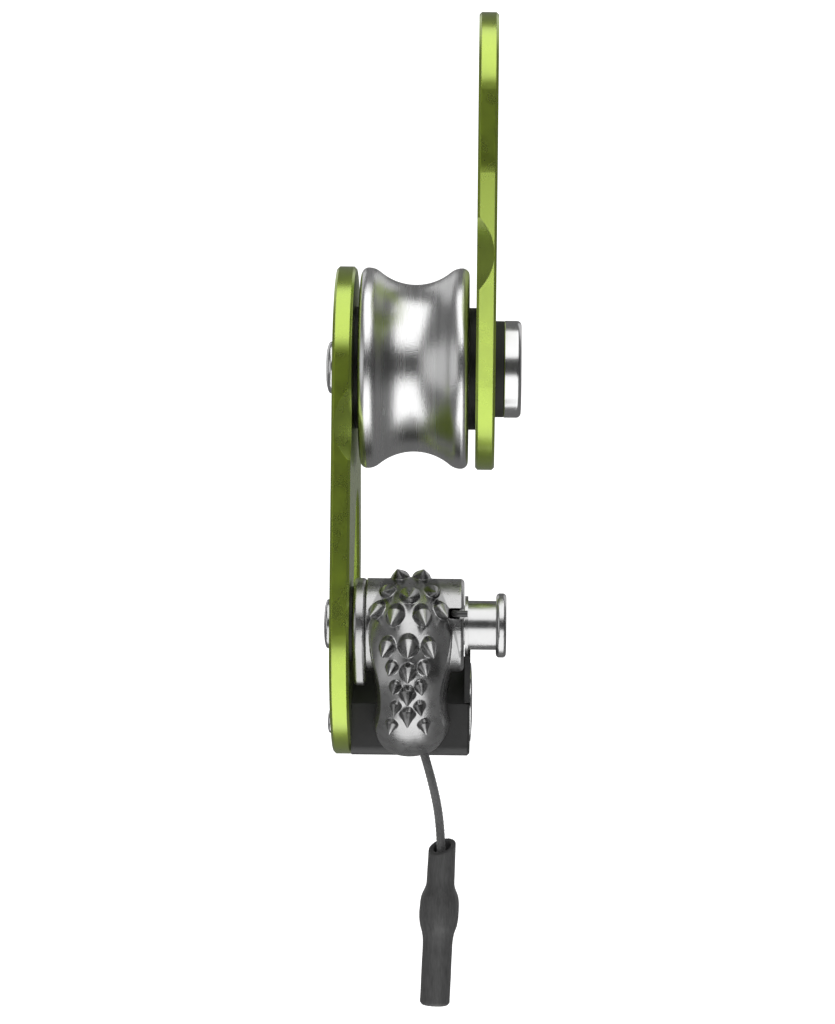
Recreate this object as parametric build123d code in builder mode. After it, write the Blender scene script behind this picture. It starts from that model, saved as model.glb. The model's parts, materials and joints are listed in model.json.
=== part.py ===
from build123d import *

import math
import os

os.makedirs("parts", exist_ok=True)

# A compact progress-capture pulley: two side plates, a grooved sheave on ball bearings and a toothed
# cam. It is modelled with its swing plate turned right up and its cam held open. Millimetres.
#
# Origin: the centre of the carabiner eye, midway between the side plates.
# +X runs from the fixed plate to the swing plate, +Y away from the cam's toothed face, +Z from the
# eye up to the sheave. Every axle is parallel to X, so a centre is given as (Y, Z).

# ---------------------------------------------------------------- driving dimensions
PLATE_INNER = 7.47
PLATE_THICKNESS = 2.37
PLATE_OUTER = PLATE_INNER + PLATE_THICKNESS
EDGE_BREAK = 0.3

SHEAVE_AXIS = (-6.9, 26.4)
CAM_AXIS = (-13.5, -5.3)

PLATE_HEAD_RADIUS = 12.6
PLATE_FRONT = SHEAVE_AXIS[0] - PLATE_HEAD_RADIUS
EYE_BACK_WEB = ((2.0, 2.0), 9.6)
FIXED_TAIL = [((-3.95, -6.45), 15.55), EYE_BACK_WEB]
SWING_TAIL = [((-6.0, -3.05), 13.5), ((0.6, -5.55), 11.0), EYE_BACK_WEB]
EYE_CIRCLES = [((0.0, -3.0), 8.1), ((0.0, 6.3), 4.8)]

RELIEF_RADIUS = 7.9
RELIEF_DEPTH = 1.48
FIXED_RELIEF_Z = 18.9
SWING_RELIEF_Z = 13.6

AXLE_RADIUS = 4.0
AXLE_STUB_RADIUS = 2.75
AXLE_RIVET_RADIUS = 3.25
AXLE_RIVET_HEIGHT = 1.3
AXLE_HEAD_RADIUS = 6.05
AXLE_HEAD_START = 10.9
AXLE_HEAD_END = 13.1
AXLE_HEAD_ROUND = 0.6
AXLE_HEAD_INNER_ROUND = 0.2
FRICTION_RING_RADIUS = 6.0
RUNNING_GAP = 0.05
FACE_GAP = 0.03

SHEAVE_MIDDLE_X = -0.13
SHEAVE_RADIUS = 12.5
SHEAVE_HALF_WIDTH = 6.7
SHEAVE_LIP_RADIUS = 7.3
GROOVE_RADIUS = 10.4
RIM_PEAK_X = 5.8
RIM_ROUND = 0.9
RIM_CREST_RADIUS = 2.2
WASHER_RADIUS = 7.6

BEARING_CENTRES = (-3.0, 3.0)
BEARING_WIDTH = 5.0
BEARING_RADIUS = 8.0
BALL_RADIUS = 1.0
BALL_PITCH_RADIUS = 6.0
BALL_COUNT = 9
RACE_THICKNESS = 1.2
RACE_GROOVE_RADIUS = 1.05
CAGE_WIDTH = 3.0
CAGE_RADII = (5.4, 6.6)
BEARING_STACK_END = BEARING_CENTRES[1] + BEARING_WIDTH / 2
SHIELD_THICKNESS = 0.25
SHIELD_CLEARANCE = 0.15
SPACER_RADIUS = AXLE_RADIUS + RACE_THICKNESS - 0.1

# The toothed face is an eccentric barrel: round about a line below the cam's axle, so that its
# distance from the axle grows from the head to the tail, and crowned across its width.
CAM_HUB_RADIUS = 5.65
CAM_HUB_ROUND = 0.5
CAM_HUB_START = -5.5
CAM_HUB_END = 6.35
CAM_BORE_RADIUS = 3.1
SPRING_POCKET_START = 2.6
SPRING_POCKET_RADIUS = 4.4
CAM_PIN_RADIUS = 2.4
CAM_MIDDLE_X = -0.2
TOOTHED_CENTRE = (-12.5, -10.5)
TOOTHED_RADIUS = 11.0
TOOTHED_CROWN_RADIUS = 6.0
CAM_BACK_Y = -11.2
CAM_HEAD_RADIUS = 5.6
CAM_HEAD_CENTRE_Z = -5.0
CAM_SHOULDER_Z = -5.8
CAM_WAIST = [(5.0, -10.4), (4.36, -14.3)]
CAM_LIP = (4.72, -17.4)
CAM_LIP_BOTTOM = -21.6
CAM_DEPTH = 14.0
CAM_DRAFT = 1.2

# A tooth is a cone on a round root, leaning to the tail. Each row is (turn from the barrel's top in
# degrees, half the spacing, radius, cone's length, lean in degrees).
TOOTH_ROWS = [
    (6, 1.3, 1.2, 2.4, 53),
    (28, 2.65, 1.05, 2.1, 53),
    (37, 0.0, 1.25, 2.56, 53),
    (44, 3.8, 1.1, 2.2, 53),
    (54, 1.65, 1.18, 2.56, 53),
    (74.9, 2.5, 1.08, 2.04, 45),
    (75, 0.0, 1.22, 2.25, 45),
    (87.8, 1.9, 0.8, 1.53, 38),
    (91.1, 0.0, 1, 1.78, 38),
    (99.9, 1.5, 0.75, 1.31, 35),
    (104.6, 0.0, 0.95, 1.72, 35),
    (112.9, 1.4, 0.72, 1.31, 35),
    (118.4, 0.0, 0.93, 1.64, 35),
    (126.9, 1.9, 0.8, 1.32, 35),
]
TOOTH_ROOT_RATIO = 1.55
TOOTH_TIP_RADIUS = 0.06

CHEEK_START = -7.1
CHEEK_ROUND = 0.5
CAM_WASHER_RADIUS = 4.6
FINGER_LENGTH = 7.5
FINGER_RADIUS = 2.0

TAIL_HOLLOW_CENTRE = (-9.0, -14.6)
TAIL_HOLLOW_RADIUS = 3.4
CORD_SLOT_START = 0.35
CORD_SLOT_END = 4.5
CORD_SLOT_WIDTH = 1.5
CORD_SLOT_SWING = 180

WIRE_RADIUS = 0.4
SPRING_RADIUS = 3.8
SPRING_PITCH = 0.95
SPRING_COIL_START = 3.1
SPRING_TURNS = 2.25
SPRING_COVER_THICKNESS = 0.5
SPRING_LEG_TIP = (6.8, -19.55)
SPRING_LEG_RISE = 1.6
SPRING_NOTCH_DEPTH = 1.75

CAM_RIVET_RADIUS = 3.0
CAM_RIVET_HEIGHT = 0.77
NECK_START = 6.85
FLANGE_START = 10.25
FLANGE_END = 11.5
NECK_RADIUS = 3.0
FLANGE_RADIUS = 3.93
FLANGE_ROUND = 0.45
COLLAR_START = 6.45
COLLAR_RADIUS = 3.55
HOOK_SLOT_WIDTH = 6.45
HOOK_SLOT_SWEEP = 20

BLOCK_RIGHT = 7.15
BLOCK_FRONT = -10.5
BLOCK_BOTTOM = -21.65
BLOCK_BACK = 5.0
BLOCK_STEP_Z = -15.2
BLOCK_RIDGE = (-5.2, -9.6)
BLOCK_FRONT_ROUND = 1.1
RIVET_CENTRES = [(-7.5, -17.7), (2.0, -16.6)]
RIVET_SHANK_RADIUS = 0.9
RIVET_HEAD_RADIUS = 1.45
RIVET_HEAD_HEIGHT = 0.65
RIVET_GRIP = 8.0
BLOCK_WALL = 0.7
WEAR_STEM_RADIUS = 1.5
WEAR_STEM_LENGTH = 3.0
WEAR_DISC_CENTRE = (-5.4, -15.3)
WEAR_DISC_RADIUS = 4.9
WEAR_DISC_EDGE = 0.1
WEAR_DISC_DOME = 0.28

CORD_RADIUS = 0.55
CORD_ROUTE = [
    (1.10, -12.6, -19.6),
    (3.00, -12.6, -25.4),
    (3.88, -12.6, -31.6),
    (3.74, -12.6, -38.2),
    (3.50, -12.6, -44.9),
    (3.24, -12.6, -51.4),
]
END_BALL_RADIUS = 0.95
SLEEVE_TOP = Vector(3.95, -12.6, -32.5)
SLEEVE_BOTTOM = Vector(3.22, -12.6, -51.9)
SLEEVE_MOUTH_SPARE = 1.5
SLEEVE_MOUTH_NORMAL = (-0.24, -0.45, 1)
SLEEVE_MOUTH_RADIUS = 1.65
SLEEVE_NECK = (4.3, 1.72)
SLEEVE_BULGE = [(5.9, 2.2), (7.3, 2.4), (9.4, 2.3)]
SLEEVE_WAIST = (12.2, 1.83)
SLEEVE_END_RADIUS = 1.6
SLEEVE_UPPER_BORE = 1.1
SLEEVE_LOWER_BORE = 0.95
STOPPER_RADIUS = 1.75
STOPPER_START = 5.4
STOPPER_END = 8.9

OUTWARDS = (Align.CENTER, Align.CENTER, Align.MIN)
INWARDS = (Align.CENTER, Align.CENTER, Align.MAX)


# ---------------------------------------------------------------- shared helpers
def turning_plane(centre, middle=0):
    """The plane through an axle: sketch x runs along the axle from the middle, sketch y outwards."""
    return Plane(origin=(middle, centre[0], centre[1]), x_dir=(1, 0, 0), z_dir=(0, -1, 0))


def turning_axis(centre):
    return Axis((0, centre[0], centre[1]), (1, 0, 0))


def ring_section(centre, x_start, x_end, inner_radius, outer_radius, middle=0):
    """The section of a plain ring or disc about an axle."""
    with BuildSketch(turning_plane(centre, middle)) as section:
        with Locations(((x_start + x_end) / 2, (inner_radius + outer_radius) / 2)):
            Rectangle(x_end - x_start, outer_radius - inner_radius)
    return section.sketch


def rims(builder, radius):
    """The round edges of this radius, from the fixed plate's side to the swing plate's."""
    circles = builder.edges().filter_by(GeomType.CIRCLE)
    return circles.filter_by(lambda edge: abs(edge.radius - radius) < 1e-6).sort_by(Axis.X)


def rivet_head(foot_x, height, radius):
    """The outline of a peened head: straight sides, a round shoulder and a shallow dome."""
    top = foot_x - height
    shoulder = 0.35 * height
    Line((foot_x, radius), (foot_x - 0.5 * height, radius))
    Spline(
        (foot_x - 0.5 * height, radius),
        (top + 0.4 * shoulder, radius - shoulder),
        (top, 0),
        tangents=[(-1, 0), (0, -1)],
    )


def save(builder, name):
    builder.part.label = name
    export_step(builder.part, f"parts/{name}.step")


def swing_plane(x):
    """A plane in which the swing plate is drawn closed and comes out turned right up."""
    return Plane(
        origin=(x, 2 * SHEAVE_AXIS[0], 2 * SHEAVE_AXIS[1]), x_dir=(0, -1, 0), z_dir=(1, 0, 0)
    )


def plate_outline(plane, tail_circles):
    """The hull of the sheave end and the tail's circles."""
    with BuildSketch(plane) as outline:
        with Locations(SHEAVE_AXIS):
            Circle(PLATE_HEAD_RADIUS)
        for centre, radius in tail_circles:
            with Locations(centre):
                Circle(radius)
        make_hull()
    return outline.sketch


def eye_outline(plane):
    with BuildSketch(plane) as outline:
        for centre, radius in EYE_CIRCLES:
            with Locations(centre):
                Circle(radius)
        make_hull()
    return outline.sketch


def relief_plane(inner_x, side, rim_point, rim_normal):
    """Where a rope relief's cutter goes: it scoops the corner of a plate's rim and inner face."""
    outward = Vector(side, rim_normal[0], rim_normal[1]).normalized()
    across = Vector(side, -rim_normal[0], -rim_normal[1]).normalized()
    corner = Vector(inner_x, rim_point[0], rim_point[1])
    return Plane(origin=corner + outward * (RELIEF_RADIUS - RELIEF_DEPTH), z_dir=across)


# ---------------------------------------------------------------- side plates
with BuildPart() as fixed_plate:
    extrude(plate_outline(Plane.YZ.offset(-PLATE_OUTER), FIXED_TAIL), amount=PLATE_THICKNESS)
    extrude(
        eye_outline(Plane.YZ.offset(-PLATE_OUTER)), amount=PLATE_THICKNESS, mode=Mode.SUBTRACT
    )
    chamfer(fixed_plate.faces().filter_by(Axis.X).edges(), EDGE_BREAK)
    with Locations(relief_plane(-PLATE_INNER, 1, (PLATE_FRONT, FIXED_RELIEF_Z), (-1, 0))):
        Cylinder(RELIEF_RADIUS, 12, mode=Mode.SUBTRACT)
    with BuildSketch(Plane.YZ.offset(-PLATE_OUTER)):
        with Locations(SHEAVE_AXIS):
            Circle(AXLE_STUB_RADIUS)
        with Locations(CAM_AXIS):
            Circle(CAM_PIN_RADIUS)
        with Locations(*RIVET_CENTRES):
            Circle(RIVET_SHANK_RADIUS)
    extrude(amount=PLATE_THICKNESS, mode=Mode.SUBTRACT)
save(fixed_plate, "fixed_plate")

# The straight back rim runs between the head's circle and the eye's web, so its normal leans up.
web_centre, web_radius = EYE_BACK_WEB
rim_run = Vector(web_centre[0] - SHEAVE_AXIS[0], web_centre[1] - SHEAVE_AXIS[1])
rim_lean = math.asin((PLATE_HEAD_RADIUS - web_radius) / rim_run.length)
rim_angle = math.atan2(rim_run.Y, rim_run.X) + math.pi / 2 - rim_lean
rim_normal = (math.cos(rim_angle), math.sin(rim_angle))
rim_start = (
    web_centre[0] + web_radius * rim_normal[0],
    web_centre[1] + web_radius * rim_normal[1],
)
rim_rise = SWING_RELIEF_Z - rim_start[1]
swing_rim_point = (rim_start[0] - rim_rise * rim_normal[1] / rim_normal[0], SWING_RELIEF_Z)

stud_angle = math.degrees(math.atan2(CAM_AXIS[1] - SHEAVE_AXIS[1], CAM_AXIS[0] - SHEAVE_AXIS[0]))
stud_distance = math.dist(CAM_AXIS, SHEAVE_AXIS)
hook_line = CenterArc(
    SHEAVE_AXIS, stud_distance, stud_angle - HOOK_SLOT_SWEEP, HOOK_SLOT_SWEEP
)

with BuildPart() as swing_plate:
    extrude(plate_outline(swing_plane(PLATE_INNER), SWING_TAIL), amount=PLATE_THICKNESS)
    extrude(eye_outline(swing_plane(PLATE_INNER)), amount=PLATE_THICKNESS, mode=Mode.SUBTRACT)
    with BuildSketch(swing_plane(PLATE_INNER)):
        SlotArc(hook_line, HOOK_SLOT_WIDTH)
    extrude(amount=PLATE_THICKNESS, mode=Mode.SUBTRACT)
    chamfer(swing_plate.faces().filter_by(Axis.X).edges(), EDGE_BREAK)
    opened_point = (2 * SHEAVE_AXIS[0] - swing_rim_point[0], 2 * SHEAVE_AXIS[1] - SWING_RELIEF_Z)
    opened_normal = (-rim_normal[0], -rim_normal[1])
    with Locations(relief_plane(PLATE_INNER, -1, opened_point, opened_normal)):
        Cylinder(RELIEF_RADIUS, 12, mode=Mode.SUBTRACT)
    with BuildSketch(swing_plane(PLATE_INNER)):
        with Locations(SHEAVE_AXIS):
            Circle(AXLE_RADIUS + RUNNING_GAP)
    extrude(amount=PLATE_THICKNESS, mode=Mode.SUBTRACT)
save(swing_plate, "swing_plate")

# ---------------------------------------------------------------- sheave axle and washers
with BuildPart() as sheave_axle:
    with BuildSketch(turning_plane(SHEAVE_AXIS)):
        with BuildLine():
            rivet_head(-PLATE_OUTER, AXLE_RIVET_HEIGHT, AXLE_RIVET_RADIUS)
            Polyline(
                (-PLATE_OUTER, AXLE_RIVET_RADIUS),
                (-PLATE_OUTER, AXLE_STUB_RADIUS),
                (-PLATE_INNER, AXLE_STUB_RADIUS),
                (-PLATE_INNER, AXLE_RADIUS),
                (AXLE_HEAD_START, AXLE_RADIUS),
                (AXLE_HEAD_START, AXLE_HEAD_RADIUS),
                (AXLE_HEAD_END, AXLE_HEAD_RADIUS),
                (AXLE_HEAD_END, 0),
                (-PLATE_OUTER - AXLE_RIVET_HEIGHT, 0),
            )
        make_face()
    revolve(axis=turning_axis(SHEAVE_AXIS))
    fillet(rims(sheave_axle, AXLE_HEAD_RADIUS)[-1], AXLE_HEAD_ROUND)
    fillet(rims(sheave_axle, AXLE_HEAD_RADIUS)[0], AXLE_HEAD_INNER_ROUND)
save(sheave_axle, "sheave_axle")

with BuildPart() as axle_friction_ring:
    ring = ring_section(
        SHEAVE_AXIS, PLATE_OUTER + FACE_GAP, AXLE_HEAD_START, AXLE_RADIUS, FRICTION_RING_RADIUS
    )
    revolve(ring, axis=turning_axis(SHEAVE_AXIS))
save(axle_friction_ring, "axle_friction_ring")

with BuildPart() as sheave_washer_left:
    ring = ring_section(
        SHEAVE_AXIS,
        -PLATE_INNER,
        SHEAVE_MIDDLE_X - SHEAVE_HALF_WIDTH - FACE_GAP,
        AXLE_RADIUS,
        WASHER_RADIUS,
    )
    revolve(ring, axis=turning_axis(SHEAVE_AXIS))
save(sheave_washer_left, "sheave_washer_left")

with BuildPart() as sheave_washer_right:
    ring = ring_section(
        SHEAVE_AXIS,
        SHEAVE_MIDDLE_X + SHEAVE_HALF_WIDTH + FACE_GAP,
        PLATE_INNER - FACE_GAP,
        AXLE_RADIUS,
        WASHER_RADIUS,
    )
    revolve(ring, axis=turning_axis(SHEAVE_AXIS))
save(sheave_washer_right, "sheave_washer_right")

# ---------------------------------------------------------------- sheave and its bearings
# The groove's floor is one arc, and each rim's crest is another that runs into it smoothly.
crest_centre = (RIM_PEAK_X, SHEAVE_RADIUS - RIM_CREST_RADIUS)
floor_rise = GROOVE_RADIUS - crest_centre[1]
floor_arc_radius = (RIM_PEAK_X**2 + floor_rise**2 - RIM_CREST_RADIUS**2) / (
    2 * (RIM_CREST_RADIUS - floor_rise)
)
crest_sweep = math.atan2(RIM_PEAK_X, floor_rise + floor_arc_radius)
crest_foot = (
    crest_centre[0] - RIM_CREST_RADIUS * math.sin(crest_sweep),
    crest_centre[1] + RIM_CREST_RADIUS * math.cos(crest_sweep),
)
crest_degrees = math.degrees(crest_sweep)

with BuildPart() as sheave:
    with BuildSketch(turning_plane(SHEAVE_AXIS, SHEAVE_MIDDLE_X)):
        with BuildLine():
            rim_low = SHEAVE_RADIUS - RIM_ROUND
            ThreePointArc((-crest_foot[0], crest_foot[1]), (0, GROOVE_RADIUS), crest_foot)
            CenterArc(crest_centre, RIM_CREST_RADIUS, 90, crest_degrees)
            CenterArc((RIM_PEAK_X, rim_low), RIM_ROUND, 0, 90)
            Polyline(
                (SHEAVE_HALF_WIDTH, rim_low),
                (SHEAVE_HALF_WIDTH, SHEAVE_LIP_RADIUS),
                (BEARING_STACK_END, SHEAVE_LIP_RADIUS),
                (BEARING_STACK_END, BEARING_RADIUS),
                (-BEARING_STACK_END, BEARING_RADIUS),
                (-BEARING_STACK_END, SHEAVE_LIP_RADIUS),
                (-SHEAVE_HALF_WIDTH, SHEAVE_LIP_RADIUS),
                (-SHEAVE_HALF_WIDTH, rim_low),
            )
            CenterArc((-RIM_PEAK_X, rim_low), RIM_ROUND, 90, 90)
            CenterArc(
                (-RIM_PEAK_X, crest_centre[1]), RIM_CREST_RADIUS, 90 - crest_degrees, crest_degrees
            )
        make_face()
    revolve(axis=turning_axis(SHEAVE_AXIS))
save(sheave, "sheave")


def race_section(middle_radius):
    """Both bearings' rings of one kind, each with its ball groove."""
    with BuildSketch(turning_plane(SHEAVE_AXIS, SHEAVE_MIDDLE_X)) as section:
        for x in BEARING_CENTRES:
            with Locations((x, middle_radius)):
                Rectangle(BEARING_WIDTH, RACE_THICKNESS)
            with Locations((x, BALL_PITCH_RADIUS)):
                Circle(RACE_GROOVE_RADIUS, mode=Mode.SUBTRACT)
    return section.sketch


def ball_places():
    """A plane at every ball of both bearings, evenly round the pitch circle, facing outwards."""
    places = []
    for x in BEARING_CENTRES:
        hub_point = Vector(SHEAVE_MIDDLE_X + x, *SHEAVE_AXIS)
        for index in range(BALL_COUNT):
            turn = 2 * math.pi * index / BALL_COUNT
            outwards = Vector(0, math.cos(turn), math.sin(turn))
            places.append(
                Plane(origin=hub_point + outwards * BALL_PITCH_RADIUS, z_dir=outwards)
            )
    return places


with BuildPart() as bearing_outer_rings:
    revolve(race_section(BEARING_RADIUS - RACE_THICKNESS / 2), axis=turning_axis(SHEAVE_AXIS))
save(bearing_outer_rings, "bearing_outer_rings")

with BuildPart() as bearing_inner_rings:
    revolve(race_section(AXLE_RADIUS + RACE_THICKNESS / 2), axis=turning_axis(SHEAVE_AXIS))
save(bearing_inner_rings, "bearing_inner_rings")

with BuildPart() as bearing_balls:
    with Locations(*ball_places()):
        Sphere(BALL_RADIUS)
save(bearing_balls, "bearing_balls")

with BuildPart() as bearing_cages:
    for x in BEARING_CENTRES:
        span = (x - CAGE_WIDTH / 2, x + CAGE_WIDTH / 2)
        cage = ring_section(SHEAVE_AXIS, *span, *CAGE_RADII, SHEAVE_MIDDLE_X)
        revolve(cage, axis=turning_axis(SHEAVE_AXIS))
    with Locations(*ball_places()):
        Cylinder(BALL_RADIUS + RUNNING_GAP, 2, mode=Mode.SUBTRACT)
save(bearing_cages, "bearing_cages")

with BuildPart() as bearing_shields:
    for x in BEARING_CENTRES:
        for side in (-1, 1):
            face = x + side * (BEARING_WIDTH / 2 - 2 * SHIELD_THICKNESS)
            shield = ring_section(
                SHEAVE_AXIS,
                face - SHIELD_THICKNESS / 2,
                face + SHIELD_THICKNESS / 2,
                AXLE_RADIUS + RACE_THICKNESS + SHIELD_CLEARANCE,
                BEARING_RADIUS - RACE_THICKNESS,
                SHEAVE_MIDDLE_X,
            )
            revolve(shield, axis=turning_axis(SHEAVE_AXIS))
save(bearing_shields, "bearing_shields")

with BuildPart() as bearing_spacers:
    inner_end = BEARING_CENTRES[1] - BEARING_WIDTH / 2
    outer_end = SHEAVE_HALF_WIDTH + FACE_GAP
    for span in (
        (-outer_end, -BEARING_STACK_END),
        (-inner_end, inner_end),
        (BEARING_STACK_END, outer_end),
    ):
        spacer = ring_section(SHEAVE_AXIS, *span, AXLE_RADIUS, SPACER_RADIUS, SHEAVE_MIDDLE_X)
        revolve(spacer, axis=turning_axis(SHEAVE_AXIS))
save(bearing_spacers, "bearing_spacers")

# ---------------------------------------------------------------- cam
def face_drop(offset):
    """How far the crowned face falls at this distance from its middle line."""
    return TOOTHED_CROWN_RADIUS - math.sqrt(TOOTHED_CROWN_RADIUS**2 - offset**2)


def tooth_plane(turn, offset, lean):
    """A tooth's base on the toothed face, looking along the tooth."""
    angle = math.radians(turn)
    radial = Vector(0, -math.sin(angle), math.cos(angle))
    along = Vector(0, -math.cos(angle), -math.sin(angle))
    foot = Vector(CAM_MIDDLE_X + offset, *TOOTHED_CENTRE)
    foot += radial * (TOOTHED_RADIUS - face_drop(offset))
    crown = math.asin(offset / TOOTHED_CROWN_RADIUS)
    normal = radial * math.cos(crown) + Vector(1, 0, 0) * math.sin(crown)
    tilt = math.radians(lean)
    return Plane(origin=foot, z_dir=normal * math.cos(tilt) + along * math.sin(tilt))


def cord_slot_section():
    """A strip a little wider than the cord, along its first run."""
    run = Vector(*CORD_ROUTE[1]) - Vector(*CORD_ROUTE[0])
    strip = Plane(origin=CORD_ROUTE[0], x_dir=run, z_dir=(0, -1, 0))
    with BuildSketch(strip) as section:
        with Locations(((CORD_SLOT_START + CORD_SLOT_END) / 2, 0)):
            Rectangle(CORD_SLOT_END - CORD_SLOT_START, CORD_SLOT_WIDTH)
    return section.sketch


def cheek_outline():
    """The hub's circle and the rounded finger below it."""
    with BuildSketch(Plane.YZ.offset(CHEEK_START)) as outline:
        with Locations(CAM_AXIS):
            Circle(CAM_HUB_RADIUS)
        with Locations((CAM_AXIS[0], CAM_AXIS[1] - FINGER_LENGTH + FINGER_RADIUS)):
            Circle(FINGER_RADIUS)
        make_hull()
    return outline.sketch


def cam_outline(depth, inset):
    """The cam's outline seen from its toothed side, narrowed by the inset on both flanks."""
    head = CAM_HEAD_RADIUS - inset
    shoulder = (head, CAM_SHOULDER_Z)
    waist = [(x - inset, z) for x, z in CAM_WAIST]
    lip = (CAM_LIP[0] - inset, CAM_LIP[1])
    far_waist = [(-x, z) for x, z in reversed(waist)]
    far_shoulder = (-head, CAM_SHOULDER_Z)
    far_lip = (-lip[0], lip[1])
    with BuildSketch(Plane.XZ.offset(depth - CAM_BACK_Y)) as outline:
        with Locations((CAM_MIDDLE_X, 0)):
            with BuildLine():
                ThreePointArc(far_shoulder, (0, CAM_HEAD_CENTRE_Z + CAM_HEAD_RADIUS), shoulder)
                Spline(shoulder, *waist, lip, tangents=[(0, -1), (0.25, -1)])
                ThreePointArc(lip, (0, CAM_LIP_BOTTOM), far_lip)
                Spline(far_lip, *far_waist, far_shoulder, tangents=[(0.25, 1), (0, 1)])
            make_face()
    return outline.sketch


with BuildPart() as cam:
    # barrel
    with BuildSketch(turning_plane(TOOTHED_CENTRE, CAM_MIDDLE_X)):
        half = CAM_HEAD_RADIUS
        edge_radius = TOOTHED_RADIUS - face_drop(half)
        with BuildLine():
            ThreePointArc((-half, edge_radius), (0, TOOTHED_RADIUS), (half, edge_radius))
            Polyline((half, edge_radius), (half, 0), (-half, 0), (-half, edge_radius))
        make_face()
    revolve(axis=turning_axis(TOOTHED_CENTRE))
    # round head, waist and round lip, with drafted flanks
    loft([cam_outline(0, 0), cam_outline(CAM_DEPTH, CAM_DRAFT)], mode=Mode.INTERSECT)
    # teeth
    for turn, half_spacing, radius, length, lean in TOOTH_ROWS:
        for offset in {-half_spacing, half_spacing}:
            with Locations(tooth_plane(turn, offset, lean)):
                Cone(radius, TOOTH_TIP_RADIUS, length, align=OUTWARDS)
                Cylinder(radius, radius * TOOTH_ROOT_RATIO, align=INWARDS)
    # hub, bore and spring pocket
    revolve(
        ring_section(CAM_AXIS, CAM_HUB_START, CAM_HUB_END, 0, CAM_HUB_RADIUS),
        axis=turning_axis(CAM_AXIS),
    )
    fillet(rims(cam, CAM_HUB_RADIUS)[-1], CAM_HUB_ROUND)
    revolve(
        ring_section(CAM_AXIS, CHEEK_START, SPRING_POCKET_START, 0, CAM_BORE_RADIUS),
        axis=turning_axis(CAM_AXIS),
        mode=Mode.SUBTRACT,
    )
    # seat for the side cheek
    extrude(cheek_outline(), amount=CAM_HUB_START - CHEEK_START, mode=Mode.SUBTRACT)
    revolve(
        ring_section(CAM_AXIS, SPRING_POCKET_START, CAM_HUB_END, 0, SPRING_POCKET_RADIUS),
        axis=turning_axis(CAM_AXIS),
        mode=Mode.SUBTRACT,
    )
    # hollow back of the tail
    revolve(
        ring_section(TAIL_HOLLOW_CENTRE, -20, 20, 0, TAIL_HOLLOW_RADIUS),
        axis=turning_axis(TAIL_HOLLOW_CENTRE),
        mode=Mode.SUBTRACT,
    )
    # pocket for the cord's end ball, open to the back
    with Locations(CORD_ROUTE[0]):
        Sphere(END_BALL_RADIUS + 2 * RUNNING_GAP, mode=Mode.SUBTRACT)
    with Locations(Plane(origin=CORD_ROUTE[0], z_dir=(0, 1, 0))):
        Cylinder(END_BALL_RADIUS + 2 * RUNNING_GAP, 4, align=OUTWARDS, mode=Mode.SUBTRACT)
    # the slot that the cord swings in while the cam turns
    extrude(cord_slot_section(), amount=CORD_SLOT_WIDTH / 2, mode=Mode.SUBTRACT)
    revolve(
        cord_slot_section(),
        axis=turning_axis(CORD_ROUTE[0][1:]),
        revolution_arc=CORD_SLOT_SWING,
        mode=Mode.SUBTRACT,
    )
    # notch in the hub's rim for the spring's leg
    with BuildSketch(Plane.XZ.offset(-CAM_AXIS[0] + SPRING_RADIUS)):
        with Locations((CAM_HUB_END, CAM_AXIS[1] + SPRING_LEG_RISE)):
            Rectangle(2 * SPRING_NOTCH_DEPTH, 3 * WIRE_RADIUS)
    extrude(amount=4, mode=Mode.SUBTRACT)
save(cam, "cam")

with BuildPart() as cam_side_cheek:
    extrude(cheek_outline(), amount=CAM_HUB_START - CHEEK_START)
    fillet(cam_side_cheek.faces().filter_by(Axis.X).edges(), CHEEK_ROUND)
    revolve(
        ring_section(CAM_AXIS, CHEEK_START, CAM_HUB_START, 0, CAM_BORE_RADIUS),
        axis=turning_axis(CAM_AXIS),
        mode=Mode.SUBTRACT,
    )
save(cam_side_cheek, "cam_side_cheek")

with BuildPart() as cam_bush:
    bush = ring_section(
        CAM_AXIS, CHEEK_START, SPRING_POCKET_START - 0.3, CAM_PIN_RADIUS + FACE_GAP, CAM_BORE_RADIUS
    )
    revolve(bush, axis=turning_axis(CAM_AXIS))
save(cam_bush, "cam_bush")

with BuildPart() as cam_washer_left:
    washer = ring_section(
        CAM_AXIS, -PLATE_INNER, CHEEK_START - FACE_GAP, CAM_PIN_RADIUS, CAM_WASHER_RADIUS
    )
    revolve(washer, axis=turning_axis(CAM_AXIS))
save(cam_washer_left, "cam_washer_left")

with BuildPart() as spring_cover:
    cover = ring_section(
        CAM_AXIS,
        CAM_HUB_END - SPRING_COVER_THICKNESS,
        CAM_HUB_END,
        CAM_PIN_RADIUS,
        SPRING_POCKET_RADIUS - 2 * RUNNING_GAP,
    )
    revolve(cover, axis=turning_axis(CAM_AXIS))
save(spring_cover, "spring_cover")

# Torsion spring: the coil ends where its leg goes straight out through the notch to a hooked tip.
leg_turn = math.asin(SPRING_LEG_RISE / SPRING_RADIUS) / (2 * math.pi)
with BuildPart() as cam_spring:
    with BuildLine():
        coil = Helix(
            SPRING_PITCH,
            SPRING_PITCH * (SPRING_TURNS - leg_turn),
            SPRING_RADIUS,
            center=(SPRING_COIL_START, *CAM_AXIS),
            direction=(1, 0, 0),
        )
    with BuildSketch(Plane(origin=coil @ 0, z_dir=coil % 0)):
        Circle(WIRE_RADIUS)
    sweep(path=coil, is_frenet=True)
    tip_x, tip_y = SPRING_LEG_TIP
    leg_start = coil @ 1
    with BuildLine():
        leg = FilletPolyline(
            leg_start,
            (leg_start.X, tip_y, leg_start.Z),
            (tip_x, tip_y, leg_start.Z),
            radius=1.5 * WIRE_RADIUS,
        )
    with BuildSketch(Plane(origin=leg @ 0, z_dir=leg % 0)):
        Circle(WIRE_RADIUS)
    sweep(path=leg)
    with Locations(leg_start):
        Sphere(WIRE_RADIUS)
save(cam_spring, "cam_spring")

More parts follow.
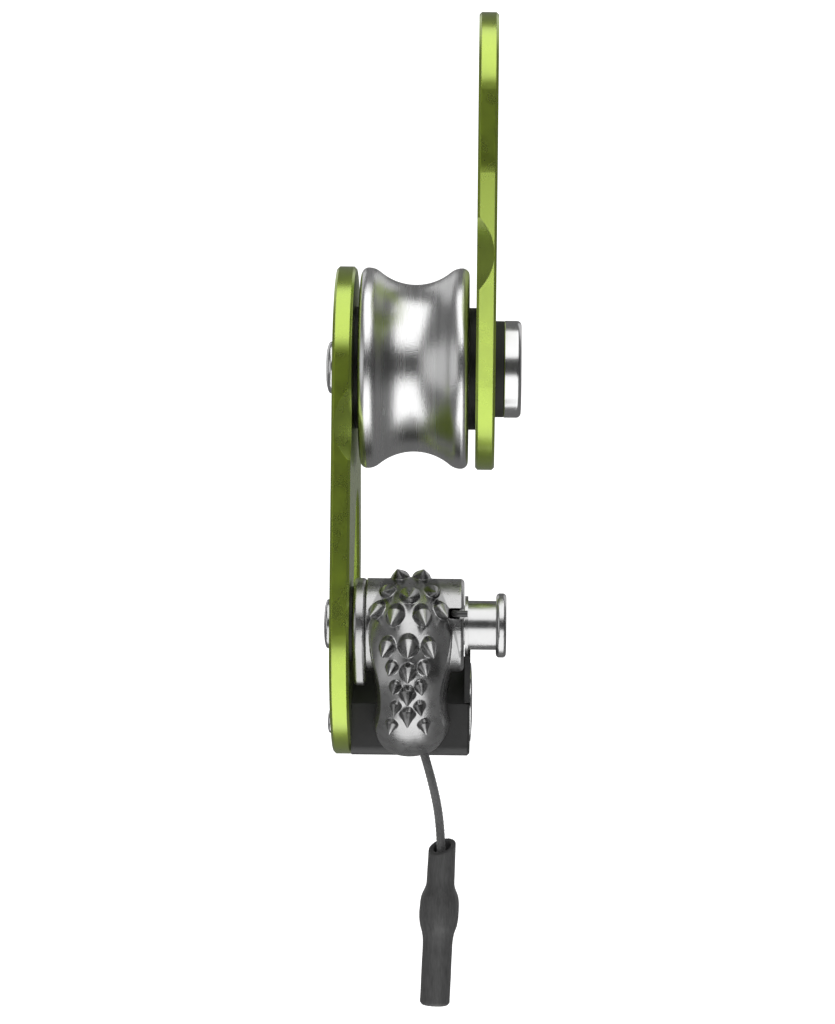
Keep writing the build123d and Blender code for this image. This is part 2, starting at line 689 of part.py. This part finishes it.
with BuildPart() as cam_axle:
    with BuildSketch(turning_plane(CAM_AXIS)):
        with BuildLine():
            rivet_head(-PLATE_OUTER, CAM_RIVET_HEIGHT, CAM_RIVET_RADIUS)
            Polyline(
                (-PLATE_OUTER, CAM_RIVET_RADIUS),
                (-PLATE_OUTER, CAM_PIN_RADIUS),
                (COLLAR_START, CAM_PIN_RADIUS),
                (COLLAR_START, COLLAR_RADIUS),
                (NECK_START, COLLAR_RADIUS),
                (NECK_START, NECK_RADIUS),
                (FLANGE_START, NECK_RADIUS),
                (FLANGE_START, FLANGE_RADIUS),
                (FLANGE_END, FLANGE_RADIUS),
                (FLANGE_END, 0),
                (-PLATE_OUTER - CAM_RIVET_HEIGHT, 0),
            )
        make_face()
    revolve(axis=turning_axis(CAM_AXIS))
    fillet(rims(cam_axle, FLANGE_RADIUS), FLANGE_ROUND)
save(cam_axle, "cam_axle")

# ---------------------------------------------------------------- spacer block
with BuildPart() as spacer_block:
    with BuildSketch(Plane.YZ.offset(-PLATE_INNER)):
        with BuildLine():
            ThreePointArc((BLOCK_FRONT, BLOCK_STEP_Z), (-7.27, -12.8), BLOCK_RIDGE)
            ThreePointArc(BLOCK_RIDGE, (0, -11.9), (BLOCK_BACK, -10.6))
            Polyline(
                (BLOCK_BACK, -10.6),
                (BLOCK_BACK, -18.6),
                (0.3, BLOCK_BOTTOM),
                (BLOCK_FRONT, BLOCK_BOTTOM),
                (BLOCK_FRONT, BLOCK_STEP_Z),
            )
        make_face()
    extrude(amount=BLOCK_RIGHT + PLATE_INNER)
    long_edges = spacer_block.edges().filter_by(Axis.X)
    fillet(long_edges.sort_by_distance((0, BLOCK_FRONT, BLOCK_BOTTOM))[0], BLOCK_FRONT_ROUND)
    chamfer(spacer_block.faces().sort_by(Axis.X)[-1].edges(), EDGE_BREAK)
    # cheek beside the cam's hub
    with BuildSketch(Plane.YZ.offset(BLOCK_RIGHT - BLOCK_WALL)):
        with BuildLine():
            Polyline(
                (BLOCK_FRONT, -15.0),
                (BLOCK_FRONT, -9.2),
                (-9.2, -7.6),
                (-7.9, -7.6),
                BLOCK_RIDGE,
                (-5.0, -12.5),
                close=True,
            )
        make_face()
    extrude(amount=BLOCK_WALL)
    revolve(
        ring_section(
            WEAR_DISC_CENTRE, BLOCK_RIGHT - WEAR_STEM_LENGTH, BLOCK_RIGHT, 0, WEAR_STEM_RADIUS
        ),
        axis=turning_axis(WEAR_DISC_CENTRE),
        mode=Mode.SUBTRACT,
    )
    with BuildSketch(Plane.YZ.offset(-PLATE_INNER)):
        with Locations(*RIVET_CENTRES):
            Circle(RIVET_SHANK_RADIUS)
    extrude(amount=RIVET_GRIP, mode=Mode.SUBTRACT)
save(spacer_block, "spacer_block")

with BuildPart() as block_rivets:
    for centre in RIVET_CENTRES:
        with BuildSketch(turning_plane(centre)):
            with BuildLine():
                rivet_head(-PLATE_OUTER, RIVET_HEAD_HEIGHT, RIVET_HEAD_RADIUS)
                Polyline(
                    (-PLATE_OUTER, RIVET_HEAD_RADIUS),
                    (-PLATE_OUTER, RIVET_SHANK_RADIUS),
                    (RIVET_GRIP - PLATE_INNER, RIVET_SHANK_RADIUS),
                    (RIVET_GRIP - PLATE_INNER, 0),
                    (-PLATE_OUTER - RIVET_HEAD_HEIGHT, 0),
                )
            make_face()
        revolve(axis=turning_axis(centre))
save(block_rivets, "block_rivets")

with BuildPart() as wear_disc:
    with BuildSketch(turning_plane(WEAR_DISC_CENTRE, BLOCK_RIGHT)):
        with BuildLine():
            ThreePointArc(
                (WEAR_DISC_EDGE, WEAR_DISC_RADIUS),
                (0.82 * WEAR_DISC_DOME, 0.65 * WEAR_DISC_RADIUS),
                (WEAR_DISC_DOME, 0.3 * WEAR_DISC_RADIUS),
            )
            Polyline(
                (WEAR_DISC_DOME, 0.3 * WEAR_DISC_RADIUS),
                (WEAR_DISC_DOME, 0),
                (-WEAR_STEM_LENGTH, 0),
                (-WEAR_STEM_LENGTH, WEAR_STEM_RADIUS),
                (0, WEAR_STEM_RADIUS),
                (0, WEAR_DISC_RADIUS),
                (WEAR_DISC_EDGE, WEAR_DISC_RADIUS),
            )
        make_face()
    revolve(axis=turning_axis(WEAR_DISC_CENTRE))
save(wear_disc, "wear_disc")

# ---------------------------------------------------------------- release cord and its sleeve
def cord_radii(points):
    """Each corner's arc is as large as its two runs allow."""
    radii = []
    for before, corner, after in zip(points, points[1:], points[2:]):
        run_in = Vector(*corner) - Vector(*before)
        run_out = Vector(*after) - Vector(*corner)
        half_turn = math.radians(run_in.get_angle(run_out)) / 2
        radii.append(0.45 * min(run_in.length, run_out.length) / math.tan(half_turn))
    return radii


with BuildPart() as release_cord:
    with BuildLine():
        cord_path = FilletPolyline(*CORD_ROUTE, radius=cord_radii(CORD_ROUTE))
    with BuildSketch(Plane(origin=cord_path @ 0, z_dir=cord_path % 0)):
        Circle(CORD_RADIUS)
    sweep(path=cord_path)
save(release_cord, "release_cord")
cord_volume = math.pi * CORD_RADIUS**2 * cord_path.length
print("cord radii", [round(radius, 1) for radius in cord_radii(CORD_ROUTE)])
print("cord length", round(cord_path.length, 2))
print("cord volume over section times length", release_cord.part.volume / cord_volume)

with BuildPart() as cord_end_ball:
    with Locations(CORD_ROUTE[0]):
        Sphere(END_BALL_RADIUS)
    with Locations(Plane(origin=CORD_ROUTE[0], z_dir=cord_path % 0)):
        Cylinder(CORD_RADIUS, 3, align=OUTWARDS, mode=Mode.SUBTRACT)
save(cord_end_ball, "cord_end_ball")

SLEEVE_LENGTH = (SLEEVE_BOTTOM - SLEEVE_TOP).length
SLEEVE_AXIS = Axis(SLEEVE_TOP, SLEEVE_BOTTOM - SLEEVE_TOP)
SLEEVE_PLANE = Plane(origin=SLEEVE_TOP, x_dir=SLEEVE_BOTTOM - SLEEVE_TOP, z_dir=(0, -1, 0))

with BuildPart() as cord_sleeve:
    with BuildSketch(SLEEVE_PLANE):
        with BuildLine():
            Line((-SLEEVE_MOUTH_SPARE, SLEEVE_MOUTH_RADIUS), SLEEVE_NECK)
            Spline(SLEEVE_NECK, *SLEEVE_BULGE, SLEEVE_WAIST, tangents=[(1, 0), (1, 0)])
            Polyline(
                SLEEVE_WAIST,
                (SLEEVE_LENGTH - 0.3, SLEEVE_WAIST[1]),
                (SLEEVE_LENGTH, SLEEVE_END_RADIUS),
                (SLEEVE_LENGTH, SLEEVE_LOWER_BORE),
                (10.6, SLEEVE_LOWER_BORE),
                (STOPPER_END, STOPPER_RADIUS),
                (STOPPER_START, STOPPER_RADIUS),
                (4.4, SLEEVE_UPPER_BORE),
                (-SLEEVE_MOUTH_SPARE, SLEEVE_UPPER_BORE),
                (-SLEEVE_MOUTH_SPARE, SLEEVE_MOUTH_RADIUS),
            )
        make_face()
    revolve(axis=SLEEVE_AXIS)
    split(bisect_by=Plane(origin=SLEEVE_TOP, z_dir=SLEEVE_MOUTH_NORMAL), keep=Keep.BOTTOM)
save(cord_sleeve, "cord_sleeve")

with BuildPart() as cord_stopper:
    with BuildSketch(SLEEVE_PLANE):
        with Locations(((STOPPER_START + STOPPER_END) / 2, (CORD_RADIUS + STOPPER_RADIUS) / 2)):
            Rectangle(STOPPER_END - STOPPER_START, STOPPER_RADIUS - CORD_RADIUS)
    revolve(axis=SLEEVE_AXIS)
save(cord_stopper, "cord_stopper")
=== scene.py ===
import json
import math

import bpy
import numpy as np
from mathutils import Matrix, Vector, noise


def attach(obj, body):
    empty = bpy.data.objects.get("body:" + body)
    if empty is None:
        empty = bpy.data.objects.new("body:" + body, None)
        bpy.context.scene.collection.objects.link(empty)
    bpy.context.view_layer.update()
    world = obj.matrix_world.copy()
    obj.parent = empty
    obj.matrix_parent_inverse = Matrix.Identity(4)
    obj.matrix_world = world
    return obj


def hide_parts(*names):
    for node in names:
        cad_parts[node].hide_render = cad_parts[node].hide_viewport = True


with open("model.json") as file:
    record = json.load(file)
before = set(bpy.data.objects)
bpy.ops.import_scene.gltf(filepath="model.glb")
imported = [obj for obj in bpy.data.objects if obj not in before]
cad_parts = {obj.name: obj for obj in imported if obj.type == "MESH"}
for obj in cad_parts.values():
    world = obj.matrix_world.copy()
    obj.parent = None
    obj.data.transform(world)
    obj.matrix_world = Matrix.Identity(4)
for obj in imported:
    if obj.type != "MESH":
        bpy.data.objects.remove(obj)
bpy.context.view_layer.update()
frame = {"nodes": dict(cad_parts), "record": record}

MM = 0.001
nodes = frame["nodes"]
collection = bpy.context.scene.collection

# ---------------------------------------------------------------- camera
CAMERA_PLACE = (8.15 * MM, -331.5 * MM, 8.55 * MM)
CAMERA_LENS = 91.4
CAMERA_SHIFT = -0.061
CAMERA_ROLL = math.radians(-0.6)

camera_data = bpy.data.cameras.new("camera")
camera_data.lens = CAMERA_LENS
camera_data.sensor_width = 36
camera_data.shift_x = CAMERA_SHIFT
camera_data.clip_start = 0.01
camera_data.clip_end = 20
camera = bpy.data.objects.new("camera", camera_data)
camera.location = CAMERA_PLACE
camera.rotation_euler = (math.radians(90), CAMERA_ROLL, 0)
collection.objects.link(camera)
bpy.context.scene.camera = camera


# ---------------------------------------------------------------- release cord, a woven tube
# The cord's line in mm, from its hole in the cam down into the sleeve.
CORD_ROUTE = [
    (1.10, -12.6, -19.6),
    (3.00, -12.6, -25.4),
    (3.88, -12.6, -31.6),
    (3.74, -12.6, -38.2),
    (3.50, -12.6, -44.9),
    (3.24, -12.6, -51.4),
]
CORD_DIAMETER = 1.1 * MM
POINTS_PER_RUN = 150
YARNS_EACH_WAY = 8
BRAID_PITCH = 4.2 * MM
YARN_HEIGHT = 0.075 * MM
YARN_ROUNDNESS = 0.6
YARN_DIP = 0.45
CORD_SIDES = 72


def spline_points(route):
    """Points read from one smooth NURBS line through the route."""
    curve = bpy.data.curves.new("cord_line", "CURVE")
    curve.dimensions = "3D"
    spline = curve.splines.new("NURBS")
    spline.points.add(len(route) - 1)
    for point, place in zip(spline.points, route):
        point.co = (*(MM * value for value in place), 1)
    spline.order_u = 3
    spline.use_endpoint_u = True
    spline.resolution_u = POINTS_PER_RUN
    line = bpy.data.objects.new("cord_line", curve)
    mesh = bpy.data.meshes.new_from_object(line)
    points = [vertex.co.copy() for vertex in mesh.vertices]
    bpy.data.objects.remove(line)
    bpy.data.curves.remove(curve)
    bpy.data.meshes.remove(mesh)
    return points


def yarn_rise(turn, run):
    """How high the weave stands here, from 0 to 1.

    Yarns wound both ways pass over and under each other in turn.
    """
    first = YARNS_EACH_WAY * turn + run / BRAID_PITCH * YARNS_EACH_WAY
    second = YARNS_EACH_WAY * turn - run / BRAID_PITCH * YARNS_EACH_WAY
    over = (math.floor(first) + math.floor(second)) % 2 == 0
    across, along = (first, second) if over else (second, first)
    round_top = abs(math.sin(math.pi * across)) ** YARN_ROUNDNESS
    return round_top * (1 - YARN_DIP + YARN_DIP * abs(math.sin(math.pi * along)))


def woven_cord_mesh(points):
    """A closed tube round the points, with the weave standing on it."""
    vertices = []
    run = 0.0
    for index, point in enumerate(points):
        before = points[max(index - 1, 0)]
        after = points[min(index + 1, len(points) - 1)]
        if index:
            run += (point - before).length
        tangent = (after - before).normalized()
        side = tangent.cross(Vector((0, 1, 0))).normalized()
        front = side.cross(tangent)
        for step in range(CORD_SIDES):
            turn = step / CORD_SIDES
            radius = CORD_DIAMETER / 2 - YARN_HEIGHT * (1 - yarn_rise(turn, run))
            angle = 2 * math.pi * turn
            vertices.append(point + radius * (math.cos(angle) * side + math.sin(angle) * front))
    faces = []
    for ring in range(len(points) - 1):
        for step in range(CORD_SIDES):
            a = ring * CORD_SIDES + step
            b = ring * CORD_SIDES + (step + 1) % CORD_SIDES
            faces.append((a, b, b + CORD_SIDES, a + CORD_SIDES))
    faces.append(tuple(reversed(range(CORD_SIDES))))
    faces.append(tuple(len(vertices) - CORD_SIDES + step for step in range(CORD_SIDES)))
    mesh = bpy.data.meshes.new("release_cord_weave")
    mesh.from_pydata(vertices, [], faces)
    mesh.polygons.foreach_set("use_smooth", [len(face) == 4 for face in faces])
    return mesh


cord_points = spline_points(CORD_ROUTE)
cord = bpy.data.objects.new("release_cord_weave", woven_cord_mesh(cord_points))
collection.objects.link(cord)


# ---------------------------------------------------------------- pieces remade from a CAD solid
def remade(node, name, voxel, rounds):
    """A new piece: the node's solid as an even, dense mesh with softened edges.

    The voxel is in mm, and so is the mesh until write_points scales it.
    """
    mesh = nodes[node].data.copy()
    mesh.transform(Matrix.Scale(1 / MM, 4))
    draft = bpy.data.objects.new(name + "_draft", mesh)
    collection.objects.link(draft)
    remesh = draft.modifiers.new("remesh", "REMESH")
    remesh.mode = "VOXEL"
    remesh.voxel_size = voxel
    remesh.use_smooth_shade = True
    smooth = draft.modifiers.new("smooth", "SMOOTH")
    smooth.factor = 0.5
    smooth.iterations = rounds
    depsgraph = bpy.context.evaluated_depsgraph_get()
    result = bpy.data.meshes.new_from_object(draft.evaluated_get(depsgraph))
    result.name = name
    bpy.data.objects.remove(draft)
    bpy.data.meshes.remove(mesh)
    piece = bpy.data.objects.new(name, result)
    collection.objects.link(piece)
    return piece


def mesh_points(mesh):
    """The mesh's vertices as one array of points."""
    points = np.empty(3 * len(mesh.vertices), dtype=np.float32)
    mesh.vertices.foreach_get("co", points)
    return points.reshape(-1, 3)


def write_points(mesh, points):
    """Stores points given in mm, and scales the mesh to metres."""
    mesh.vertices.foreach_set("co", points.astype(np.float32).ravel())
    mesh.transform(Matrix.Scale(MM, 4))
    mesh.update()


# The cam's toothed face is a crowned barrel about a line along X, all in mm.
BARREL_CENTRE = (-12.5, -10.5)
BARREL_RADIUS = 11.0
CROWN_RADIUS = 6.0
BARREL_MIDDLE_X = -0.2
CAM_VOXEL = 0.075
SMOOTH_ROUNDS = 3
TEETH_END_Y = -12.0
RISE_LIMITS = (-1, 3)


def cast_cam():
    """The cam as a casting, with each point's height over the toothed face kept for the painted
    shade on its teeth.
    """
    piece = remade("cam", "cam_casting", CAM_VOXEL, SMOOTH_ROUNDS)
    points = mesh_points(piece.data)
    offset = np.clip(np.abs(points[:, 0] - BARREL_MIDDLE_X), 0, CROWN_RADIUS - 0.01)
    face_radius = BARREL_RADIUS - CROWN_RADIUS + np.sqrt(CROWN_RADIUS**2 - offset**2)
    reach = np.hypot(points[:, 1] - BARREL_CENTRE[0], points[:, 2] - BARREL_CENTRE[1])
    rise = reach - face_radius
    toothless = points[:, 1] > TEETH_END_Y
    rise[toothless] = np.minimum(rise[toothless], 0)
    # This height drives the painted shade on the teeth's sides in cast_steel.
    tooth = piece.data.attributes.new("tooth_rise", "FLOAT", "POINT")
    tooth.data.foreach_set("value", np.clip(rise, *RISE_LIMITS).astype(np.float32))
    write_points(piece.data, points)
    return piece


# The sleeve's mouth, middle line and outer skin, and the wrinkles round its bulge, in mm.
SLEEVE_TOP_Z = -32.5
SLEEVE_MIDDLE = (3.6, -12.6)
SLEEVE_SKIN_RADIUS = 1.3
SLEEVE_VOXEL = 0.08
WRINKLE_HEIGHT = 0.06
WRINKLES_BELOW_MOUTH = 9.5
WRINKLES_SPREAD = 3.0


def shrunk_sleeve():
    """The sleeve, with the fine lengthwise wrinkles that a shrunk tube keeps round its bulge."""
    piece = remade("cord_sleeve", "sleeve_tube", SLEEVE_VOXEL, SMOOTH_ROUNDS)
    points = mesh_points(piece.data)
    for index, (x, y, z) in enumerate(points.tolist()):
        outward = Vector((x - SLEEVE_MIDDLE[0], y - SLEEVE_MIDDLE[1], 0))
        if outward.length < SLEEVE_SKIN_RADIUS:
            continue
        below = SLEEVE_TOP_Z - z
        from_bulge = (below - WRINKLES_BELOW_MOUTH) / WRINKLES_SPREAD
        strength = 0.35 + math.exp(-(from_bulge**2))
        folds = noise.noise(Vector((2.6 * x, 2.6 * y, 0.45 * z)))
        dimples = noise.noise(Vector((1.1 * x + 7, 1.1 * y, 0.9 * z)))
        shift = WRINKLE_HEIGHT * strength * (0.7 * folds + 0.5 * dimples)
        points[index, :2] += shift * outward.normalized().xy
    write_points(piece.data, points)
    return piece


cam_casting = cast_cam()
sleeve_tube = shrunk_sleeve()


# ---------------------------------------------------------------- materials
class Nodes:
    """One material's node tree, with short ways to add nodes and link them."""

    def __init__(self, name):
        self.material = bpy.data.materials.new(name)
        self.material.use_nodes = True
        self.tree = self.material.node_tree
        self.shader = self.tree.nodes["Principled BSDF"]

    def add(self, kind, inputs=None, **settings):
        node = self.tree.nodes.new(kind)
        for key, value in settings.items():
            setattr(node, key, value)
        for key, value in (inputs or {}).items():
            self.put(node, key, value)
        return node

    def put(self, node, key, value):
        if isinstance(value, bpy.types.NodeSocket):
            self.tree.links.new(value, node.inputs[key])
        else:
            node.inputs[key].default_value = value

    def set(self, **values):
        for key, value in values.items():
            self.put(self.shader, key.replace("_", " "), value)

    def object_point(self):
        return self.add("ShaderNodeTexCoord").outputs["Object"]

    def noise(self, point, scale, detail=3.0, roughness=0.5):
        return self.add(
            "ShaderNodeTexNoise",
            {"Vector": point, "Scale": scale, "Detail": detail, "Roughness": roughness},
        ).outputs["Fac"]

    def stretched(self, point, scale):
        return self.add("ShaderNodeMapping", {"Vector": point, "Scale": scale}).outputs["Vector"]

    def ramp(self, factor, stops):
        node = self.add("ShaderNodeValToRGB", {"Fac": factor})
        band = node.color_ramp
        while len(band.elements) < len(stops):
            band.elements.new(0.5)
        for element, (place, value) in zip(band.elements, stops):
            element.position = place
            element.color = (*value, 1)
        return node.outputs["Color"]

    def grey_ramp(self, factor, stops):
        return self.ramp(factor, [(place, (v, v, v)) for place, v in stops])

    def mix(self, factor, first, second, blend_type="MIX"):
        node = self.add("ShaderNodeMix", data_type="RGBA", blend_type=blend_type)
        for key, value in ((0, factor), (6, first), (7, second)):
            if isinstance(value, tuple):
                value = (*value, 1)
            self.put(node, key, value)
        return node.outputs[2]

    def bump(self, height, strength, distance, normal=None):
        inputs = {"Height": height, "Strength": strength, "Distance": distance}
        if normal is not None:
            inputs["Normal"] = normal
        return self.add("ShaderNodeBump", inputs).outputs["Normal"]

    def soft_edges(self, radius):
        return self.add("ShaderNodeBevel", {"Radius": radius}, samples=4).outputs["Normal"]


def anodised_green():
    """Bead-blasted aluminium under a clear, dyed oxide layer, its edges softened."""
    n = Nodes("anodised_green")
    point = n.object_point()
    cloud = n.noise(point, 90, 4.0)
    colour = n.ramp(cloud, [(0.3, (0.38, 0.53, 0.025)), (0.7, (0.43, 0.58, 0.035))])
    speck = n.grey_ramp(n.noise(point, 5000, 2.0), [(0.3, 0.94), (0.7, 1.0)])
    colour = n.mix(0.5, colour, speck, "MULTIPLY")
    roughness = n.grey_ramp(n.noise(point, 400, 4.0), [(0.3, 0.25), (0.7, 0.33)])
    n.set(Base_Color=colour, Metallic=0.95, Roughness=roughness)
    n.set(Coat_Weight=0.9, Coat_Roughness=0.25, Coat_IOR=1.9)
    grain = n.noise(point, 9000, 2.0)
    n.put(n.shader, "Normal", n.bump(grain, 0.12, 0.00002, n.soft_edges(0.12 * MM)))
    return n.material


def turned_aluminium():
    """Turned aluminium: fine rings round the axle, and a rope's short scuffs across them."""
    n = Nodes("turned_aluminium")
    point = n.object_point()
    rings = n.noise(n.stretched(point, (9000, 260, 260)), 1.0, 2.0)
    bands = n.noise(n.stretched(point, (1300, 30, 30)), 1.0, 3.0)
    scuffs = n.noise(n.stretched(point, (2600, 7500, 7500)), 1.0, 3.0, 0.65)
    colour = n.grey_ramp(bands, [(0.3, 0.70), (0.7, 0.82)])
    roughness = n.grey_ramp(bands, [(0.3, 0.23), (0.7, 0.30)])
    n.set(Base_Color=colour, Metallic=1.0, Roughness=roughness)
    turned = n.bump(rings, 0.3, 0.000012)
    n.put(n.shader, "Normal", n.bump(scuffs, 0.6, 0.00003, turned))
    return n.material


def cast_steel():
    """A tumbled casting: satin steel with a fine skin; painted shade darkens the teeth's sides,
    and their tips keep the body's colour.
    """
    n = Nodes("cast_steel")
    point = n.object_point()
    rise = n.add("ShaderNodeAttribute", attribute_name="tooth_rise").outputs["Fac"]
    cloud = n.noise(point, 700, 5.0, 0.6)
    body = n.grey_ramp(cloud, [(0.3, 0.42), (0.7, 0.53)])
    # Painted shade: the teeth's sides are darkened for the dark they reflect; tips over 1 mm rise
    # keep the body's colour.
    side = n.grey_ramp(rise, [(0.02, 1.0), (0.12, 0.55), (0.8, 0.62), (1.0, 1.0)])
    colour = n.mix(1.0, body, side, "MULTIPLY")
    roughness = n.grey_ramp(cloud, [(0.3, 0.24), (0.7, 0.33)])
    n.set(Base_Color=colour, Metallic=1.0, Roughness=roughness)
    skin = n.noise(point, 5200, 3.0, 0.6)
    n.put(n.shader, "Normal", n.bump(skin, 0.35, 0.00002))
    return n.material


def steel(name, shade, roughness, grain_scale, grain_depth):
    """Bare metal with faint clouds and a fine grain along X."""
    n = Nodes(name)
    point = n.object_point()
    cloud = n.noise(point, 500, 5.0, 0.6)
    colour = n.grey_ramp(cloud, [(0.3, shade * 0.9), (0.7, shade)])
    rough = n.grey_ramp(cloud, [(0.3, roughness), (0.7, roughness * 1.35)])
    n.set(Base_Color=colour, Metallic=1.0, Roughness=rough)
    along = 0.1 * grain_scale
    turned = n.noise(n.stretched(point, (grain_scale, along, along)), 1.0)
    n.put(n.shader, "Normal", n.bump(turned, 0.3, grain_depth))
    return n.material


def dull(name, shade, roughness, grain_scale, grain_depth, metallic=0.0):
    """Dark plastic, rubber or anodising with faint clouds and a fine grain."""
    n = Nodes(name)
    point = n.object_point()
    cloud = n.noise(point, 300, 5.0, 0.6)
    colour = n.grey_ramp(cloud, [(0.3, shade * 0.85), (0.7, shade * 1.12)])
    rough = n.grey_ramp(cloud, [(0.3, roughness * 0.9), (0.7, roughness * 1.1)])
    n.set(Base_Color=colour, Metallic=metallic, Roughness=rough)
    edges = n.soft_edges(0.1 * MM)
    n.put(n.shader, "Normal", n.bump(n.noise(point, grain_scale, 3.0), 0.4, grain_depth, edges))
    return n.material


def woven_cord():
    """Dark polyamide yarn with a fine twist and a little fuzz."""
    n = Nodes("woven_cord")
    point = n.object_point()
    yarn = n.noise(point, 6000, 3.0)
    patch = n.noise(point, 700, 4.0, 0.6)
    shade = n.grey_ramp(patch, [(0.3, 0.10), (0.7, 0.16)])
    colour = n.mix(0.7, shade, n.grey_ramp(yarn, [(0.3, 0.55), (0.7, 1.0)]), "MULTIPLY")
    n.set(Base_Color=colour, Roughness=0.75, Sheen_Weight=0.3, Sheen_Roughness=0.5)
    n.put(n.shader, "Normal", n.bump(yarn, 0.5, 0.00003))
    return n.material


def shrink_tube():
    """Heat-shrink tube: dark, satin, with fine lengthwise streaks and scuffs."""
    n = Nodes("shrink_tube")
    point = n.object_point()
    streaks = n.noise(n.stretched(point, (5200, 5200, 700)), 1.0, 4.0, 0.6)
    colour = n.grey_ramp(streaks, [(0.3, 0.045), (0.75, 0.08)])
    roughness = n.grey_ramp(streaks, [(0.3, 0.42), (0.7, 0.56)])
    n.set(Base_Color=colour, Roughness=roughness)
    n.put(n.shader, "Normal", n.bump(streaks, 0.4, 0.00003))
    return n.material


MATERIALS = {
    "anodised_green": anodised_green(),
    "turned_aluminium": turned_aluminium(),
    "dark_aluminium": dull("dark_aluminium", 0.042, 0.42, 5000, 0.00003, 0.25),
    "polished_steel": steel("polished_steel", 0.74, 0.18, 9000, 0.000006),
    "cast_steel": cast_steel(),
    "bearing_steel": steel("bearing_steel", 0.7, 0.2, 7000, 0.00001),
    "spring_steel": steel("spring_steel", 0.10, 0.35, 5000, 0.00001),
    "bush_bronze": steel("bush_bronze", 0.4, 0.3, 4000, 0.00001),
    "black_plastic": dull("black_plastic", 0.012, 0.5, 5000, 0.00002),
    "cage_plastic": dull("cage_plastic", 0.06, 0.5, 5000, 0.00002),
    "elastomer": dull("elastomer", 0.012, 0.6, 5000, 0.00003),
    "woven_cord": woven_cord(),
    "shrink_tube": shrink_tube(),
}
# The stud is duller than the other polished steel.
SATIN_STEEL = steel("satin_steel", 0.62, 0.21, 7000, 0.00001)
SLOT_OF = {row["node"]: row["material_slot"] for row in frame["record"]["subparts"]}
for name, node in nodes.items():
    node.data.materials.clear()
    node.data.materials.append(SATIN_STEEL if name == "cam_axle" else MATERIALS[SLOT_OF[name]])


def stands_for(piece, node, body):
    """Puts a remade piece on its body in its node's place, with the node's finish."""
    piece.data.materials.clear()
    piece.data.materials.append(MATERIALS[SLOT_OF[node]])
    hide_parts(node)
    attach(piece, body)


stands_for(cord, "release_cord", "cord")
stands_for(sleeve_tube, "cord_sleeve", "cord")
stands_for(cam_casting, "cam", "cam")


# ---------------------------------------------------------------- floor, backdrop and light
LIGHT_AIM = Vector((0, 0, 0.01))


def area_light(name, azimuth, elevation, distance, size, radiance):
    """A soft box that faces the object. Azimuth is from the front, towards the swing plate."""
    turn, rise = math.radians(azimuth), math.radians(elevation)
    way = Vector(
        (math.cos(rise) * math.sin(turn), -math.cos(rise) * math.cos(turn), math.sin(rise))
    )
    data = bpy.data.lights.new(name, "AREA")
    data.shape = "RECTANGLE"
    data.size, data.size_y = size
    data.energy = radiance * math.pi * size[0] * size[1]
    light = bpy.data.objects.new(name, data)
    light.location = distance * way + LIGHT_AIM
    light.rotation_euler = way.to_track_quat("Z", "Y").to_euler()
    light.visible_camera = False
    collection.objects.link(light)


CURVE_STEPS = 24


def pale_backdrop():
    """A floor below the object that sweeps up behind it."""
    front, back, sweep, top, half_width, floor_z = -1.2, 1.6, 0.5, 3.0, 3.0, -0.9
    profile = [(front, floor_z), (back - sweep, floor_z)]
    for step in range(1, CURVE_STEPS + 1):
        turn = math.pi / 2 * step / CURVE_STEPS
        profile.append(
            (back - sweep + sweep * math.sin(turn), floor_z + sweep * (1 - math.cos(turn)))
        )
    profile.append((back, top))
    vertices = [(x, y, z) for y, z in profile for x in (-half_width, half_width)]
    faces = [(2 * i, 2 * i + 1, 2 * i + 3, 2 * i + 2) for i in range(len(profile) - 1)]
    mesh = bpy.data.meshes.new("backdrop")
    mesh.from_pydata(vertices, [], faces)
    backdrop = bpy.data.objects.new("backdrop", mesh)
    collection.objects.link(backdrop)
    n = Nodes("pale_paper")
    n.set(Base_Color=(0.5, 0.5, 0.5, 1), Roughness=0.9)
    n.set(Emission_Color=(1, 1, 1, 1), Emission_Strength=1.0)
    n.put(n.shader, "Normal", n.bump(n.noise(n.object_point(), 600, 3.0), 0.05, 0.0001))
    mesh.materials.append(n.material)
    for polygon in mesh.polygons:
        polygon.use_smooth = True
    backdrop.visible_glossy = False


def dark_flag():
    """A black card curved round the front and right, for the dark middle band on the metal."""
    radius, low, high, start, sweep = 0.45, -0.105, 0.21, -14, 89
    turns = [
        math.radians(start + sweep * step / CURVE_STEPS) for step in range(CURVE_STEPS + 1)
    ]
    vertices = [
        (radius * math.sin(turn), -radius * math.cos(turn), z)
        for turn in turns
        for z in (low, high)
    ]
    faces = [(2 * i, 2 * i + 2, 2 * i + 3, 2 * i + 1) for i in range(len(turns) - 1)]
    mesh = bpy.data.meshes.new("flag")
    mesh.from_pydata(vertices, [], faces)
    card = bpy.data.objects.new("flag", mesh)
    collection.objects.link(card)
    mesh.materials.append(dull("black_card", 0.02, 0.9, 900, 0.0001))
    card.visible_camera = False
    card.visible_shadow = False


pale_backdrop()
dark_flag()
area_light("above", 12, 62, 0.62, (0.60, 0.94), 1.35)
area_light("below", 12, -58, 0.62, (0.60, 1.24), 1.35)
area_light("left", -48, 2, 0.60, (0.62, 0.46), 0.5)
area_light("behind_left", -140, 25, 0.9, (0.7, 0.9), 0.5)
area_light("behind_right", 140, 25, 0.9, (0.7, 0.9), 0.5)

world = bpy.data.worlds.new("world")
world.use_nodes = True
sky = world.node_tree.nodes["Background"]
sky.inputs["Color"].default_value = (1, 1, 1, 1)
sky.inputs["Strength"].default_value = 0.16
bpy.context.scene.world = world
bpy.context.scene.view_settings.view_transform = "Standard"
